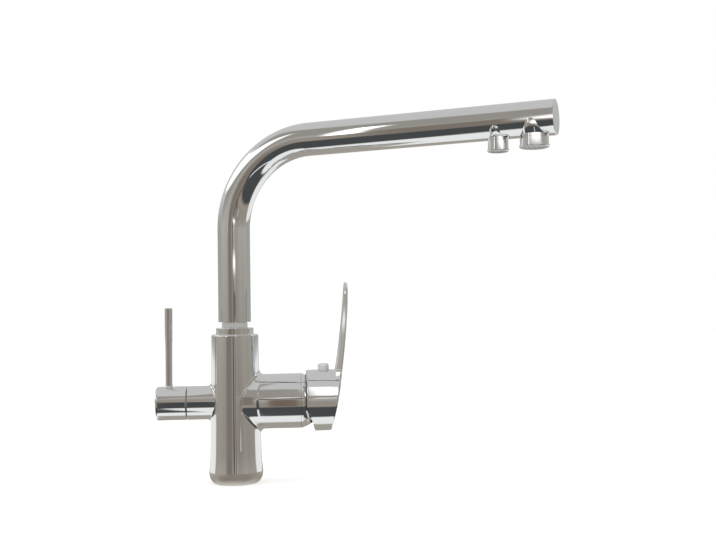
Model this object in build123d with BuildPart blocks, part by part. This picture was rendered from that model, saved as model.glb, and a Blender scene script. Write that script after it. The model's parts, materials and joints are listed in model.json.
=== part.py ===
from build123d import *
import os
from math import cos, radians, sin

os.makedirs("parts", exist_ok=True)

# Kitchen mixer with a second, filtered waterway: a column with a single-lever mixer on its
# right, a quarter-turn filter valve on its left, and a swivel spout with two outlets.
# Millimetres. The origin is the centre of the base's underside, +Z is up, +X runs along the
# branch towards the mixer lever, and -Y is the front.

# Shared clearances
running_gap = 0.06
fixed_gap = 0.03
axial_gap = 0.2
disc_gap = 0.05
overrun = 2.0

# Column
column_height = 113.5
column_top_radius = 18.05
column_waist_radius = 19.5
column_foot_radius = 20.6
foot_flare_height = 17.0
rim_rounding = 1.6
spigot_radius = 16.6
spigot_height = 3.0

# Base ring and gasket
base_height = 9.0
base_band_height = 1.2
base_flat_radius = 16.0
base_opening_radius = 14.0
gasket_inner_radius = 14.4
gasket_outer_radius = 15.5
gasket_thickness = 1.5

# Hose inlets (M10 x 1 tapping bores) and fixing stud bore (M8 tapping bore)
inlet_pitch_radius = 9.0
inlet_bore_radius = 4.5
inlet_depth = 12.0
stud_bore_radius = 3.4
stud_bore_depth = 15.0
waterway_radius = 2.0

# Spout seat in the top of the column
seat_radius = 8.8
seat_depth = 35.5
collar_thread_radius = 11.2
collar_thread_depth = 14.5
collar_radius = 14.4
collar_height = 5.0
collar_rounding = 0.8
lower_ring_thickness = 2.5
upper_ring_height = 4.2
upper_ring_radius = 9.9
nipple_bore_radius = 6.4
nipple_clip_radius = 10.8
nipple_clip_thickness = 2.4
nipple_clip_bite = 0.9
nipple_clip_gap = 5.0
nipple_foot_room = 1.5
nipple_plug_length = 12.0
seal_groove_depth = 1.6
seal_groove_width = 2.0
seal_groove_pitch = 5.0

# Branch: one axis carries the mixer barrel and the filter valve
branch_height = 61.5
barrel_radius = 21.0
barrel_mouth = 50.5
barrel_root_radius = 16.5
barrel_blend_length = 19.0
barrel_bore_radius = 17.5
chamber_floor = 22.0
barrel_root_fillet = 3.5
neck_radius = 12.9
neck_end = 36.5
neck_root_fillet = 2.5
mouth_chamfer = 0.4

# Mixer cartridge
cartridge_base_thickness = 4.0
port_radius = 2.6
inlet_port_spread = 7.6
inlet_port_drop = 5.5
outlet_port_rise = 7.5
port_seal_depth = 1.2
port_seal_width = 1.5
fixed_disc_radius = 13.5
moving_disc_radius = 11.0
disc_thickness = 3.5
mixing_pocket_radius = 8.6
mixing_pocket_depth = 1.8
driver_thickness = 4.0
driver_radius = 10.0
driver_slot_half_height = 2.65
driver_slot_half_width = 2.7
housing_wall = 1.3
rotor_flange_radius = 14.0
rotor_flange_thickness = 2.0
rotor_radius = 11.5
rotor_end = 50.0
rotor_slot_half_height = 9.0
housing_end = 48.0
housing_neck_radius = 13.0
housing_neck_length = 3.0
nut_bore_radius = 13.4
nut_length = 5.0
nut_notch_count = 6
nut_notch_width = 3.0
nut_notch_depth = 2.0

# Lift axis, stem and cover
lift_axis_x = 46.0
pin_radius = 1.5
stem_size = 7.0
stem_tip_radius = 2.5
stem_tip_x = 35.75
stem_neck_width = 3.2
stem_neck_length = 3.4
stem_end = 71.5
cover_radius = 21.4
cover_wall = 1.5
cover_band_length = 1.3
cover_end = 59.0

# Mixer lever
hub_radius = 23.5
hub_mouth = 54.4
hub_relief_start = 3.0
hub_relief_middle = 15.5
hub_relief_middle_run = 4.4
hub_relief_run = 6.4
hub_cavity_radius = 20.5
hub_cavity_floor = 65.3
hub_boss_radius = 8.0
hub_boss_start = 60.0
hub_rounding = 1.2
face_foot_x = 72.55
face_foot_rise = -26.0
face_mid_x = 82.8
face_mid_rise = 27.0
face_top_x = 87.6
face_top_rise = 92.0
cap_foot_thickness = 6.0
cap_mid_thickness = 4.7
cap_top_thickness = 2.3
hub_into_cap = 1.5
blade_root_half_width = 14.5
blade_tip_half_width = 10.5
blade_tip_rise = 91.0
blade_root_rise = 12.0
blade_shoulder_rounding = 12.0
face_rounding = 1.5
lever_screw_x = 67.9
lever_screw_radius = 2.0
lever_screw_length = 8.0
screw_socket_radius = 1.25
screw_socket_depth = 3.0
plug_radius = 4.3
plug_depth = 2.0
plug_rise = 5.0
plug_rounding = 2.0

# Filter valve
valve_bore_radius = 9.2
valve_floor = 21.0
valve_seal_thickness = 1.5
valve_seal_inner_radius = 4.6
valve_disc_radius = 6.8
valve_disc_thickness = 2.6
valve_port_radius = 1.9
valve_port_offset = 3.4
valve_body_radius = 7.8
valve_thread_length = 6.5
valve_neck_radius = 7.0
valve_neck_length = 3.5
valve_window_width = 6.0
spindle_radius = 4.0
spindle_flange_radius = 6.6
spindle_flange_thickness = 3.0
spindle_square = 5.4
spindle_end = 51.5
spindle_seal_groove_depth = 0.9
spindle_seal_groove_width = 1.3
spindle_seal_setback = 3.0
clip_radius = 5.6
clip_thickness = 0.8
clip_groove_depth = 0.7

# Filter knob and its pin lever
knob_radius = 12.9
knob_gap = 0.4
knob_end = 60.4
knob_end_rounding = 2.2
knob_edge_rounding = 0.6
knob_cavity_radius = 10.4
knob_cavity_end = 42.4
pin_lever_x = 50.6
pin_lever_radius = 2.9
pin_lever_rise = 73.0
pin_lever_tail = 6.2
pin_flare_radius = 4.3
pin_flare_height = 1.8
pin_seat_depth = 0.9
pin_tip_chamfer = 0.6
knob_screw_x = 46.0
knob_screw_radius = 2.0
knob_screw_length = 5.0

# Spout
spout_turn = -26.0
tube_radius = 12.5
tube_wall = 1.5
arm_height = 260.0
bend_radius = 65.0
spout_reach = 252.0
end_cap_thickness = 1.4
end_cap_spigot = 5.0
end_cap_rounding = 0.5

# Filtered-water tube inside the spout
inner_tube_radius = 2.5
inner_tube_bore_radius = 1.75
inner_tube_drop_radius = 6.0
inner_tube_foot_depth = 8.0
inner_seal_width = 1.5

# The two outlets under the arm
filter_outlet_distance = 210.8
mixed_outlet_distance = 236.4
saddle_middle_drop = 7.0
saddle_top_inset = 0.05
saddle_top_flare = 0.9
saddle_middle_flare = 0.4
outlet_groove_drop = 11.0
outlet_groove_width = 0.5
outlet_groove_depth = 0.35
outlet_socket_drop = 13.0
outlet_thread_length = 3.6
outlet_seal_depth = 0.9
outlet_seal_width = 1.0
outlet_seam_gap = 0.1
outlet_lip_height = 1.8
outlet_lip_rounding = 0.7
filter_neck_radius = 7.1
filter_saddle_half_width = 11.5
filter_bore_radius = 5.0
filter_spigot_radius = 5.8
filter_insert_rings = 2
filter_sleeve_drop = 6.2
filter_saddle_top_drop = 4.0
filter_outlet_drop = 21.0
inner_tube_end_room = 0.3
mixed_neck_radius = 9.9
mixed_saddle_half_width = 12.0
mixed_bore_radius = 8.2
mixed_spigot_radius = 9.0
mixed_spigot_drop = 8.5
mixed_saddle_top_drop = 1.0
mixed_outlet_drop = 20.0
mixed_insert_rings = 3
outlet_lip_proud = 0.45
outlet_wall = 1.2
outlet_lip_wall = 1.8
insert_thickness = 4.0
insert_recess = 0.8
insert_edge = 1.3
insert_hole_radius = 0.85

# Planes and axes
branch_axis = Axis((0, 0, branch_height), (1, 0, 0))
branch_side = Plane(origin=(0, 0, branch_height), x_dir=(1, 0, 0), z_dir=(0, -1, 0))
arm_direction = (cos(radians(spout_turn)), sin(radians(spout_turn)), 0)
arm_side = Plane(origin=(0, 0, 0), x_dir=arm_direction, z_dir=(arm_direction[1], -arm_direction[0], 0))


def right_plane(x):
    """Plane across the branch at x, facing the mixer lever, with its y axis up."""
    return Plane(origin=(x, 0, branch_height), x_dir=(0, 1, 0), z_dir=(1, 0, 0))


def left_plane(distance):
    """Plane across the branch at this distance to the left, facing the filter knob."""
    return Plane(origin=(-distance, 0, branch_height), x_dir=(0, -1, 0), z_dir=(-1, 0, 0))


def arm_plane(distance):
    """Plane along the arm and upright, with its origin on the arm's centre line."""
    origin = arm_side.from_local_coords((distance, arm_height))
    return Plane(origin=origin, x_dir=arm_side.x_dir, z_dir=arm_side.z_dir)


def level_plane(distance, drop):
    """Level plane under the arm, at this distance along it and this far below its centre line."""
    origin = arm_side.from_local_coords((distance, arm_height - drop))
    return Plane(origin=origin, x_dir=arm_direction, z_dir=(0, 0, 1))


def arm_across(distance):
    """Plane across the arm at this distance, facing the arm's end."""
    origin = arm_side.from_local_coords((distance, arm_height))
    return Plane(origin=origin, x_dir=arm_side.z_dir, z_dir=arm_direction)


# Heights in the column
casting_foot = base_height - spigot_height
seat_floor = column_height - seat_depth
thread_floor = column_height - collar_thread_depth
clip_low = thread_floor + lower_ring_thickness + axial_gap
clip_high = clip_low + nipple_clip_thickness
collar_top = column_height + collar_height
upper_ring_top = collar_top + upper_ring_height
tube_foot = upper_ring_top + axial_gap
nipple_foot = seat_floor + nipple_foot_room
nipple_radius = seat_radius - running_gap
clip_bore_radius = nipple_radius - nipple_clip_bite
seal_groove_lows = [nipple_foot + seal_groove_pitch, nipple_foot + seal_groove_pitch * 2]
inner_seal_radius = inner_tube_radius + inner_seal_width
inner_gland_radius = inner_seal_radius + fixed_gap
mixed_way_x = inner_gland_radius + waterway_radius + fixed_gap
filtered_way_rise = valve_body_radius - waterway_radius / 4

# Places along the spout
tube_inner_radius = tube_radius - tube_wall
cap_start = spout_reach - end_cap_thickness
inner_tube_end_drop = outlet_socket_drop - outlet_thread_length - inner_tube_end_room
housing_top_drop = outlet_socket_drop + outlet_seam_gap

# Places along the filter valve, as distances to the left of the column's axis
knob_start = neck_end + knob_gap
valve_disc_start = valve_floor + valve_seal_thickness
turning_disc_start = valve_disc_start + valve_disc_thickness + disc_gap
spindle_flange_start = turning_disc_start + valve_disc_thickness + disc_gap
spindle_flange_end = spindle_flange_start + spindle_flange_thickness
spindle_seal_start = neck_end - spindle_seal_setback
valve_neck_end = neck_end + valve_neck_length
pin_foot_rise = knob_radius - pin_lever_tail
pin_seat_rise = knob_radius - pin_seat_depth

# Places along the cartridge
stem_shoulder_x = stem_tip_x + stem_tip_radius + stem_neck_length
fixed_disc_x = chamber_floor + cartridge_base_thickness
moving_disc_x = fixed_disc_x + disc_thickness + disc_gap
driver_x = moving_disc_x + disc_thickness
rotor_x = driver_x + driver_thickness + axial_gap
rotor_body_x = rotor_x + rotor_flange_thickness
housing_shoulder_x = rotor_body_x + axial_gap
housing_radius = barrel_bore_radius - fixed_gap
port_places = [
    (inlet_port_spread, -inlet_port_drop),
    (-inlet_port_spread, -inlet_port_drop),
    (0, outlet_port_rise),
]

# Column casting: turned column, barrel and valve neck, then every bore and waterway
with BuildPart() as tap_column:
    with BuildSketch(Plane.XZ):
        with BuildLine():
            foot = Polyline(
                (0, casting_foot),
                (spigot_radius, casting_foot),
                (spigot_radius, base_height),
                (column_foot_radius, base_height),
            )
            wall = Line(
                (column_waist_radius, base_height + foot_flare_height),
                (column_top_radius, column_height),
            )
            TangentArc(wall @ 0, foot @ 1, tangent=(wall % 0) * -1)
            Polyline(wall @ 1, (0, column_height), foot @ 0)
        make_face()
    revolve(axis=Axis.Z)
    fillet(tap_column.edges().group_by(Axis.Z)[-1], rim_rounding)
    with BuildSketch(branch_side):
        with BuildLine():
            barrel = Polyline(
                (0, barrel_root_radius),
                (0, 0),
                (barrel_mouth, 0),
                (barrel_mouth, barrel_radius),
                (barrel_blend_length, barrel_radius),
            )
            TangentArc(barrel @ 1, barrel @ 0, tangent=(-1, 0))
        make_face()
    revolve(axis=branch_axis)
    with BuildSketch(left_plane(0)):
        Circle(neck_radius)
    extrude(amount=neck_end)
    curves = tap_column.edges().filter_by(GeomType.CIRCLE, reverse=True)
    junctions = curves.filter_by(GeomType.LINE, reverse=True)
    fillet(junctions.filter_by(lambda edge: edge.center().X > 0), barrel_root_fillet)
    curves = tap_column.edges().filter_by(GeomType.CIRCLE, reverse=True)
    junctions = curves.filter_by(GeomType.LINE, reverse=True)
    fillet(junctions.sort_by(Axis.X)[0], neck_root_fillet)
    chamfer(tap_column.edges().sort_by(Axis.X)[-1], mouth_chamfer)
    chamfer(tap_column.edges().sort_by(Axis.X)[0], mouth_chamfer)
    # Spout seat, collar thread and the gland of the inner tube
    with BuildSketch(Plane.XY.offset(column_height)):
        Circle(seat_radius)
    extrude(amount=-seat_depth, mode=Mode.SUBTRACT)
    with BuildSketch(Plane.XY.offset(column_height)):
        Circle(collar_thread_radius)
    extrude(amount=-collar_thread_depth, mode=Mode.SUBTRACT)
    with BuildSketch(Plane.XY.offset(seat_floor)):
        Circle(inner_gland_radius)
    extrude(amount=-inner_seal_width, mode=Mode.SUBTRACT)
    with BuildSketch(Plane.XY.offset(seat_floor)):
        Circle(inner_tube_radius + running_gap)
    extrude(amount=branch_height - seat_floor, mode=Mode.SUBTRACT)
    # Cartridge chamber and filter valve bore
    with BuildSketch(right_plane(barrel_mouth)):
        Circle(barrel_bore_radius)
    extrude(amount=chamber_floor - barrel_mouth, mode=Mode.SUBTRACT)
    with BuildSketch(left_plane(neck_end)):
        Circle(valve_bore_radius)
    extrude(amount=valve_floor - neck_end, mode=Mode.SUBTRACT)
    # Hose inlets, stud bore and the hot, cold and filtered risers above them
    with BuildSketch(Plane.XY.offset(casting_foot)):
        with Locations((0, inlet_pitch_radius), (0, -inlet_pitch_radius), (-inlet_pitch_radius, 0)):
            Circle(inlet_bore_radius)
    extrude(amount=inlet_depth, mode=Mode.SUBTRACT)
    with BuildSketch(Plane.XY.offset(casting_foot)):
        with Locations((inlet_pitch_radius, 0)):
            Circle(stud_bore_radius)
    extrude(amount=stud_bore_depth, mode=Mode.SUBTRACT)
    with BuildSketch(Plane.XY.offset(casting_foot)):
        with Locations((0, inlet_pitch_radius), (0, -inlet_pitch_radius)):
            Circle(waterway_radius)
    extrude(amount=branch_height - inlet_port_drop - casting_foot, mode=Mode.SUBTRACT)
    with BuildSketch(Plane.XY.offset(casting_foot)):
        with Locations((-inlet_pitch_radius, 0)):
            Circle(waterway_radius)
    extrude(amount=branch_height - casting_foot, mode=Mode.SUBTRACT)
    with BuildSketch(right_plane(chamber_floor)):
        with Locations(port_places[0], port_places[1]):
            Circle(waterway_radius)
    extrude(amount=-chamber_floor, mode=Mode.SUBTRACT)
    with BuildSketch(left_plane(valve_floor)):
        Circle(waterway_radius)
    extrude(amount=inlet_pitch_radius - valve_floor, mode=Mode.SUBTRACT)
    # Mixed water rises beside the inner tube, filtered water reaches it from the valve
    with BuildSketch(right_plane(chamber_floor)):
        with Locations(port_places[2]):
            Circle(waterway_radius)
    extrude(amount=mixed_way_x - chamber_floor, mode=Mode.SUBTRACT)
    with BuildSketch(Plane.XY.offset(seat_floor)):
        with Locations((mixed_way_x, 0)):
            Circle(waterway_radius)
    extrude(amount=branch_height + outlet_port_rise - seat_floor, mode=Mode.SUBTRACT)
    with BuildSketch(left_plane(valve_floor)):
        with Locations((0, filtered_way_rise)):
            Circle(waterway_radius)
    extrude(amount=-valve_floor, mode=Mode.SUBTRACT)

# Base ring: rounded skirt under the column, open in the middle for the hoses
with BuildPart() as base_ring:
    with BuildSketch(Plane.XZ):
        with BuildLine():
            ring = Polyline(
                (base_flat_radius, 0),
                (base_opening_radius, 0),
                (base_opening_radius, casting_foot),
                (spigot_radius + fixed_gap, casting_foot),
                (spigot_radius + fixed_gap, base_height),
                (column_foot_radius, base_height),
                (column_foot_radius, base_height - base_band_height),
            )
            TangentArc(ring @ 1, ring @ 0, tangent=(0, -1))
        make_face()
    revolve(axis=Axis.Z)
    with BuildSketch(Plane.XY):
        Circle(gasket_outer_radius)
        Circle(gasket_inner_radius, mode=Mode.SUBTRACT)
    extrude(amount=gasket_thickness, mode=Mode.SUBTRACT)

with BuildPart() as base_gasket:
    with BuildSketch(Plane.XY):
        Circle(gasket_outer_radius - fixed_gap)
        Circle(gasket_inner_radius + fixed_gap, mode=Mode.SUBTRACT)
    extrude(amount=gasket_thickness)

# Spout seat: threaded collar, slide rings above and below, seal of the inner tube
with BuildPart() as spout_collar:
    with BuildSketch(Plane.XZ):
        with BuildLine():
            Polyline(
                (seat_radius, clip_high + axial_gap),
                (collar_thread_radius - fixed_gap, clip_high + axial_gap),
                (collar_thread_radius - fixed_gap, column_height),
                (collar_radius, column_height),
                (collar_radius, collar_top),
                (seat_radius, collar_top),
                close=True,
            )
        make_face()
    revolve(axis=Axis.Z)
    fillet(spout_collar.edges().group_by(Axis.Z)[-1].sort_by(SortBy.LENGTH)[-1], collar_rounding)

with BuildPart() as upper_slide_ring:
    with BuildSketch(Plane.XY.offset(collar_top)):
        Circle(upper_ring_radius)
        Circle(seat_radius, mode=Mode.SUBTRACT)
    extrude(amount=upper_ring_height)

with BuildPart() as lower_slide_ring:
    with BuildSketch(Plane.XY.offset(thread_floor)):
        Circle(collar_thread_radius - fixed_gap)
        Circle(seat_radius, mode=Mode.SUBTRACT)
    extrude(amount=lower_ring_thickness)

inner_seal_middle = inner_tube_radius + running_gap + inner_seal_width / 2
with BuildPart() as inner_tube_seal:
    with BuildSketch(Plane.XZ):
        with Locations((inner_seal_middle, seat_floor - inner_seal_width / 2)):
            Circle((inner_seal_width - running_gap) / 2)
    revolve(axis=Axis.Z)

# Mixer cartridge, from the chamber floor outwards
with BuildPart() as cartridge_base:
    with BuildSketch(right_plane(chamber_floor)):
        Circle(housing_radius)
        with Locations(port_places):
            Circle(port_radius, mode=Mode.SUBTRACT)
    extrude(amount=cartridge_base_thickness)
    with BuildSketch(right_plane(chamber_floor)):
        with Locations(port_places):
            Circle(port_radius + port_seal_width)
    extrude(amount=port_seal_depth, mode=Mode.SUBTRACT)

with BuildPart() as cartridge_seals:
    with BuildSketch(right_plane(chamber_floor)):
        with Locations(port_places):
            Circle(port_radius + port_seal_width - fixed_gap)
        with Locations(port_places):
            Circle(port_radius, mode=Mode.SUBTRACT)
    extrude(amount=port_seal_depth)

with BuildPart() as fixed_disc:
    with BuildSketch(right_plane(fixed_disc_x)):
        Circle(fixed_disc_radius)
        with Locations(port_places):
            Circle(port_radius, mode=Mode.SUBTRACT)
    extrude(amount=disc_thickness)

with BuildPart() as moving_disc:
    with BuildSketch(right_plane(moving_disc_x)):
        Circle(moving_disc_radius)
    extrude(amount=disc_thickness)
    with BuildSketch(right_plane(moving_disc_x)):
        Circle(mixing_pocket_radius)
    extrude(amount=mixing_pocket_depth, mode=Mode.SUBTRACT)

with BuildPart() as disc_driver:
    with BuildSketch(right_plane(driver_x)):
        Circle(driver_radius)
        Rectangle(driver_slot_half_width * 2, driver_slot_half_height * 2, mode=Mode.SUBTRACT)
    extrude(amount=driver_thickness)

with BuildPart() as cartridge_housing:
    with BuildSketch(branch_side):
        with BuildLine():
            Polyline(
                (fixed_disc_x, housing_radius - housing_wall),
                (housing_shoulder_x, housing_radius - housing_wall),
                (housing_shoulder_x, rotor_radius + running_gap),
                (housing_end + housing_neck_length, rotor_radius + running_gap),
                (housing_end + housing_neck_length, housing_neck_radius),
                (housing_end, housing_neck_radius),
                (housing_end, housing_radius),
                (fixed_disc_x, housing_radius),
                close=True,
            )
        make_face()
    revolve(axis=branch_axis)

with BuildPart() as cartridge_rotor:
    with BuildSketch(right_plane(rotor_x)):
        Circle(rotor_flange_radius)
    extrude(amount=rotor_flange_thickness)
    with BuildSketch(right_plane(rotor_body_x)):
        Circle(rotor_radius)
    extrude(amount=rotor_end - rotor_body_x)
    with BuildSketch(right_plane(rotor_x)):
        Rectangle(stem_size + axial_gap * 2, rotor_slot_half_height * 2)
    extrude(amount=rotor_end - rotor_x, mode=Mode.SUBTRACT)
    with BuildSketch(branch_side):
        with Locations((lift_axis_x, 0)):
            Circle(pin_radius + fixed_gap)
    extrude(amount=rotor_radius, both=True, mode=Mode.SUBTRACT)

with BuildPart() as stem_pin:
    with BuildSketch(branch_side):
        with Locations((lift_axis_x, 0)):
            Circle(pin_radius)
    extrude(amount=rotor_radius - axial_gap, both=True)

with BuildPart() as cartridge_nut:
    with BuildSketch(right_plane(housing_end)):
        Circle(barrel_bore_radius - fixed_gap)
        Circle(nut_bore_radius, mode=Mode.SUBTRACT)
    extrude(amount=nut_length)
    with BuildSketch(right_plane(housing_end + nut_length)):
        with PolarLocations(barrel_bore_radius, nut_notch_count):
            Rectangle((barrel_bore_radius - nut_bore_radius) * 4, nut_notch_width)
    extrude(amount=-nut_notch_depth, mode=Mode.SUBTRACT)

# Cover ring: a band flush with the barrel, then part of a sphere about the lift axis
with BuildPart() as barrel_cover:
    with BuildSketch(branch_side):
        with Locations((lift_axis_x, 0)):
            Circle(cover_radius)
            Circle(cover_radius - cover_wall, mode=Mode.SUBTRACT)
        with Locations((barrel_mouth, 0)):
            Rectangle(
                cover_end - barrel_mouth, cover_radius, align=(Align.MIN, Align.MIN), mode=Mode.INTERSECT
            )
        with Locations((barrel_mouth, barrel_radius)):
            Rectangle(cover_band_length, cover_wall, align=(Align.MIN, Align.MAX))
    revolve(axis=branch_axis)

# Stem: square bar on the lift pin, with a round tongue that drags the moving disc
with BuildPart() as cartridge_stem:
    with BuildSketch(branch_side):
        with Locations((stem_tip_x, 0)):
            Circle(stem_tip_radius)
            Rectangle(stem_shoulder_x - stem_tip_x, stem_neck_width, align=(Align.MIN, Align.CENTER))
    extrude(amount=stem_tip_radius, both=True)
    with BuildSketch(right_plane(stem_shoulder_x)):
        Rectangle(stem_size, stem_size)
    extrude(amount=stem_end - stem_shoulder_x)
    with BuildSketch(branch_side):
        with Locations((lift_axis_x, 0)):
            Circle(pin_radius + running_gap)
    extrude(amount=stem_size, both=True, mode=Mode.SUBTRACT)

# Mixer lever. Cap and blade are one curved plate, cut to the hub's round and the blade's taper
blade_tip_centre = blade_tip_rise - blade_tip_half_width
face_arc = [(face_foot_x, face_foot_rise), (face_mid_x, face_mid_rise), (face_top_x, face_top_rise)]
back_arc = [
    (face_foot_x - cap_foot_thickness, face_foot_rise),
    (face_mid_x - cap_mid_thickness, face_mid_rise),
    (face_top_x - cap_top_thickness, face_top_rise),
]
with BuildPart() as lever_plate:
    with BuildSketch(branch_side):
        with BuildLine():
            face = ThreePointArc(*face_arc)
            back = ThreePointArc(*back_arc)
            Line(face @ 0, back @ 0)
            Line(face @ 1, back @ 1)
        make_face()
    extrude(amount=hub_radius, both=True)
    with BuildSketch(right_plane(hub_mouth)) as outline:
        with BuildLine():
            Line((-blade_root_half_width, blade_root_rise), (blade_root_half_width, blade_root_rise))
            CenterArc((0, blade_tip_centre), blade_tip_half_width, 0, 360)
        make_hull()
        Circle(hub_radius)
        shoulders = outline.vertices().filter_by(lambda corner: blade_root_rise < corner.Y < hub_radius)
        fillet(shoulders, blade_shoulder_rounding)
    extrude(amount=face_top_x - hub_mouth, mode=Mode.INTERSECT)
    outer_faces = lever_plate.faces().filter_by(lambda face: face.normal_at().X > 0.9)
    fillet(outer_faces.edges(), face_rounding)

with BuildPart() as mixer_lever:
    with BuildSketch(right_plane(hub_mouth)):
        Circle(hub_radius)
    extrude(amount=face_top_x - hub_mouth)
    with BuildSketch(branch_side):
        with BuildLine():
            seam = ThreePointArc(*[(x + hub_into_cap, rise) for x, rise in back_arc])
            Polyline(
                seam @ 1,
                (hub_mouth, face_top_rise),
                (hub_mouth, -hub_relief_start),
                (hub_mouth + hub_relief_middle_run, -hub_relief_middle),
                (hub_mouth + hub_relief_run, -hub_radius),
                seam @ 0,
            )
        make_face()
    extrude(amount=hub_radius, both=True, mode=Mode.INTERSECT)
    fillet(mixer_lever.edges().filter_by(GeomType.CIRCLE).sort_by(Axis.X)[0], hub_rounding)
    add(lever_plate.part)
    with BuildSketch(right_plane(hub_mouth)):
        Circle(hub_cavity_radius)
    extrude(amount=hub_boss_start - hub_mouth, mode=Mode.SUBTRACT)
    with BuildSketch(right_plane(hub_boss_start)):
        Circle(hub_cavity_radius)
        Circle(hub_boss_radius, mode=Mode.SUBTRACT)
    extrude(amount=hub_cavity_floor - hub_boss_start, mode=Mode.SUBTRACT)
    with BuildSketch(right_plane(hub_boss_start)):
        Rectangle(stem_size + fixed_gap * 2, stem_size + fixed_gap * 2)
    extrude(amount=stem_end + axial_gap - hub_boss_start, mode=Mode.SUBTRACT)
    with BuildSketch(Plane.XY.offset(branch_height)):
        with Locations((lever_screw_x, 0)):
            Circle(lever_screw_radius + fixed_gap)
    extrude(amount=hub_radius, mode=Mode.SUBTRACT)
    with BuildSketch(Plane.XY.offset(branch_height + hub_radius - plug_depth)):
        with Locations((lever_screw_x, 0)):
            Circle(plug_radius + fixed_gap)
    extrude(amount=plug_depth, mode=Mode.SUBTRACT)

with BuildPart() as lever_screw:
    with BuildSketch(Plane.XY.offset(branch_height + stem_size / 2 + fixed_gap)):
        with Locations((lever_screw_x, 0)):
            Circle(lever_screw_radius)
    extrude(amount=lever_screw_length)
    with BuildSketch(Plane(lever_screw.faces().sort_by(Axis.Z)[-1])):
        RegularPolygon(screw_socket_radius, 6)
    extrude(amount=-screw_socket_depth, mode=Mode.SUBTRACT)

with BuildPart() as index_plug:
    with BuildSketch(Plane.XY.offset(branch_height + hub_radius - plug_depth)):
        with Locations((lever_screw_x, 0)):
            Circle(plug_radius)
    extrude(amount=plug_depth + plug_rise)
    fillet(index_plug.edges().group_by(Axis.Z)[-1], plug_rounding)

# Filter valve: quarter-turn ceramic headwork screwed into the left neck
with BuildPart() as valve_seat_seal:
    with BuildSketch(left_plane(valve_floor)):
        Circle(valve_body_radius)
        Circle(valve_seal_inner_radius, mode=Mode.SUBTRACT)
    extrude(amount=valve_seal_thickness)

with BuildPart() as valve_fixed_disc:
    with BuildSketch(left_plane(valve_disc_start)):
        Circle(valve_disc_radius)
        with Locations((0, valve_port_offset), (0, -valve_port_offset)):
            Circle(valve_port_radius, mode=Mode.SUBTRACT)
    extrude(amount=valve_disc_thickness)

with BuildPart() as valve_turning_disc:
    with BuildSketch(left_plane(turning_disc_start)):
        Circle(valve_disc_radius)
        with Locations((valve_port_offset, 0), (-valve_port_offset, 0)):
            Circle(valve_port_radius, mode=Mode.SUBTRACT)
    extrude(amount=valve_disc_thickness)

with BuildPart() as valve_body:
    with BuildSketch(left_plane(valve_disc_start)):
        Circle(valve_body_radius)
    extrude(amount=neck_end - valve_disc_start)
    with BuildSketch(left_plane(neck_end)):
        Circle(valve_bore_radius - fixed_gap)
    extrude(amount=-valve_thread_length)
    with BuildSketch(left_plane(neck_end)):
        Circle(valve_neck_radius)
    extrude(amount=valve_neck_length)
    with BuildSketch(left_plane(valve_disc_start)):
        Circle(valve_disc_radius + running_gap)
    extrude(amount=spindle_flange_end + axial_gap - valve_disc_start, mode=Mode.SUBTRACT)
    with BuildSketch(left_plane(valve_disc_start)):
        Circle(spindle_radius + running_gap)
    extrude(amount=valve_neck_end - valve_disc_start, mode=Mode.SUBTRACT)
    with BuildSketch(left_plane(turning_disc_start)):
        Rectangle(valve_window_width, valve_bore_radius * 2)
    extrude(amount=neck_end - valve_thread_length - turning_disc_start, mode=Mode.SUBTRACT)

with BuildPart() as valve_spindle:
    with BuildSketch(left_plane(spindle_flange_start)):
        Circle(spindle_flange_radius)
    extrude(amount=spindle_flange_thickness)
    with BuildSketch(left_plane(spindle_flange_end)):
        Circle(spindle_radius)
    extrude(amount=knob_cavity_end - spindle_flange_end)
    with BuildSketch(left_plane(knob_cavity_end)):
        Rectangle(spindle_square, spindle_square)
    extrude(amount=spindle_end - knob_cavity_end)
    with BuildSketch(left_plane(spindle_seal_start)):
        Circle(spindle_radius)
        Circle(spindle_radius - spindle_seal_groove_depth, mode=Mode.SUBTRACT)
    extrude(amount=spindle_seal_groove_width, mode=Mode.SUBTRACT)
    with BuildSketch(left_plane(valve_neck_end + axial_gap - fixed_gap)):
        Circle(spindle_radius)
        Circle(spindle_radius - clip_groove_depth, mode=Mode.SUBTRACT)
    extrude(amount=clip_thickness + fixed_gap * 2, mode=Mode.SUBTRACT)

spindle_seal_middle = spindle_seal_start + spindle_seal_groove_width / 2
with BuildPart() as spindle_seal:
    with BuildSketch(branch_side):
        with Locations((-spindle_seal_middle, spindle_radius - spindle_seal_groove_depth / 2)):
            Circle(spindle_seal_groove_depth / 2 - fixed_gap)
    revolve(axis=branch_axis)

with BuildPart() as spindle_clip:
    with BuildSketch(left_plane(valve_neck_end + axial_gap)):
        Circle(clip_radius)
        Circle(spindle_radius - clip_groove_depth + fixed_gap, mode=Mode.SUBTRACT)
        with Locations((0, -clip_radius)):
            Rectangle(spindle_radius, clip_radius, mode=Mode.SUBTRACT)
    extrude(amount=clip_thickness)

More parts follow.
